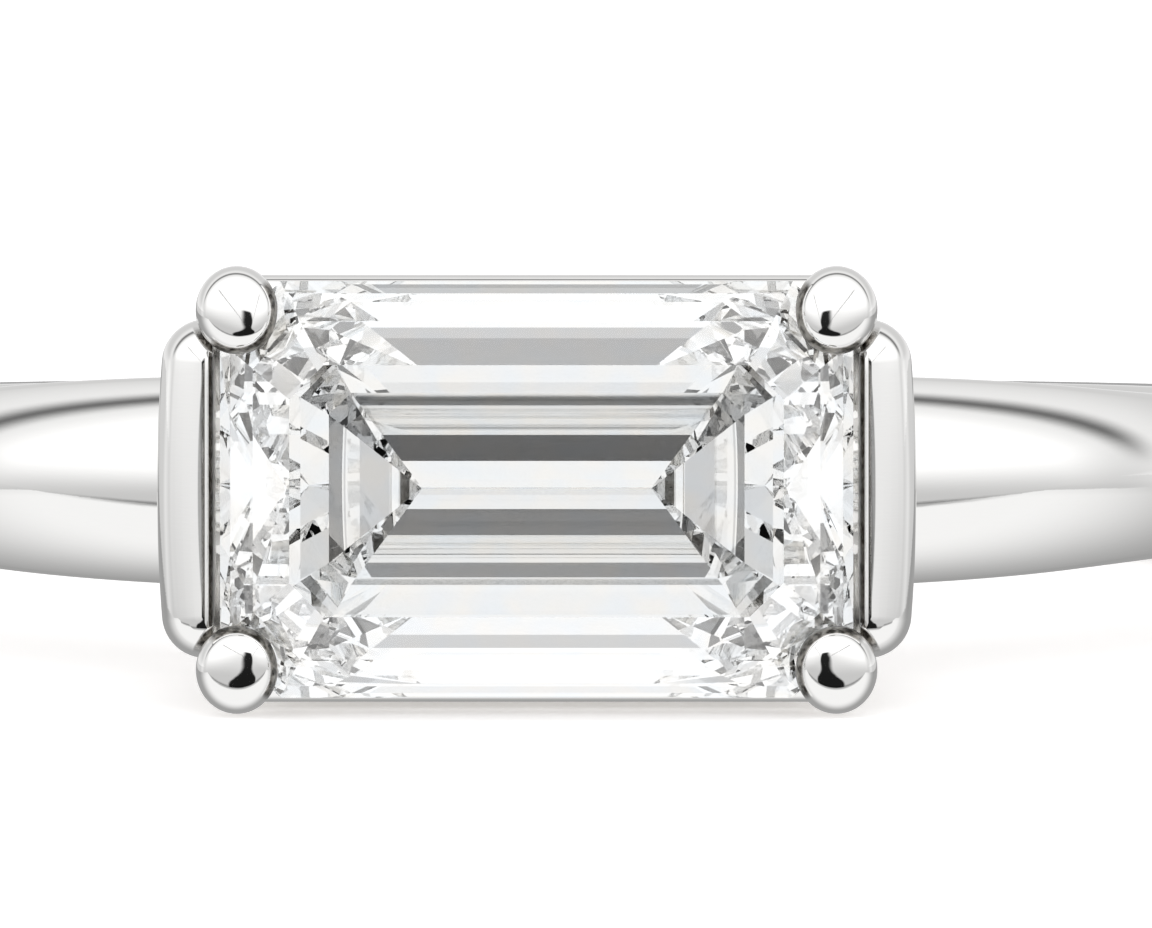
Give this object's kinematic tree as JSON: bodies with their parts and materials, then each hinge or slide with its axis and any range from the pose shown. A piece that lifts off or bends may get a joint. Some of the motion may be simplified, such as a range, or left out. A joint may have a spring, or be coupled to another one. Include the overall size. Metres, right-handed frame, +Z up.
{
  "type": "east west ring",
  "caption": "Plain polished ring with a long step-cut stone set lengthwise across the finger, held by rounded claws and end bars.",
  "frame": {"origin": "middle of the box round the ring, on the surface that it lies on", "axes": "+Z up from that surface, -Y towards the stone, X along the stone's length; the finger axis leans 4.5 degrees from +Z towards +Y, as the ring lies by itself"},
  "size_m": [0.0194, 0.023, 0.0051],
  "materials": {
    "polished_metal": "mirror-polished platinum",
    "stone": "clear faceted stone, flat polished facets"
  },
  "bodies": {
    "root": {"shank_and_setting": "polished_metal", "emerald_cut_stone": "stone"}
  },
  "joints": []
}
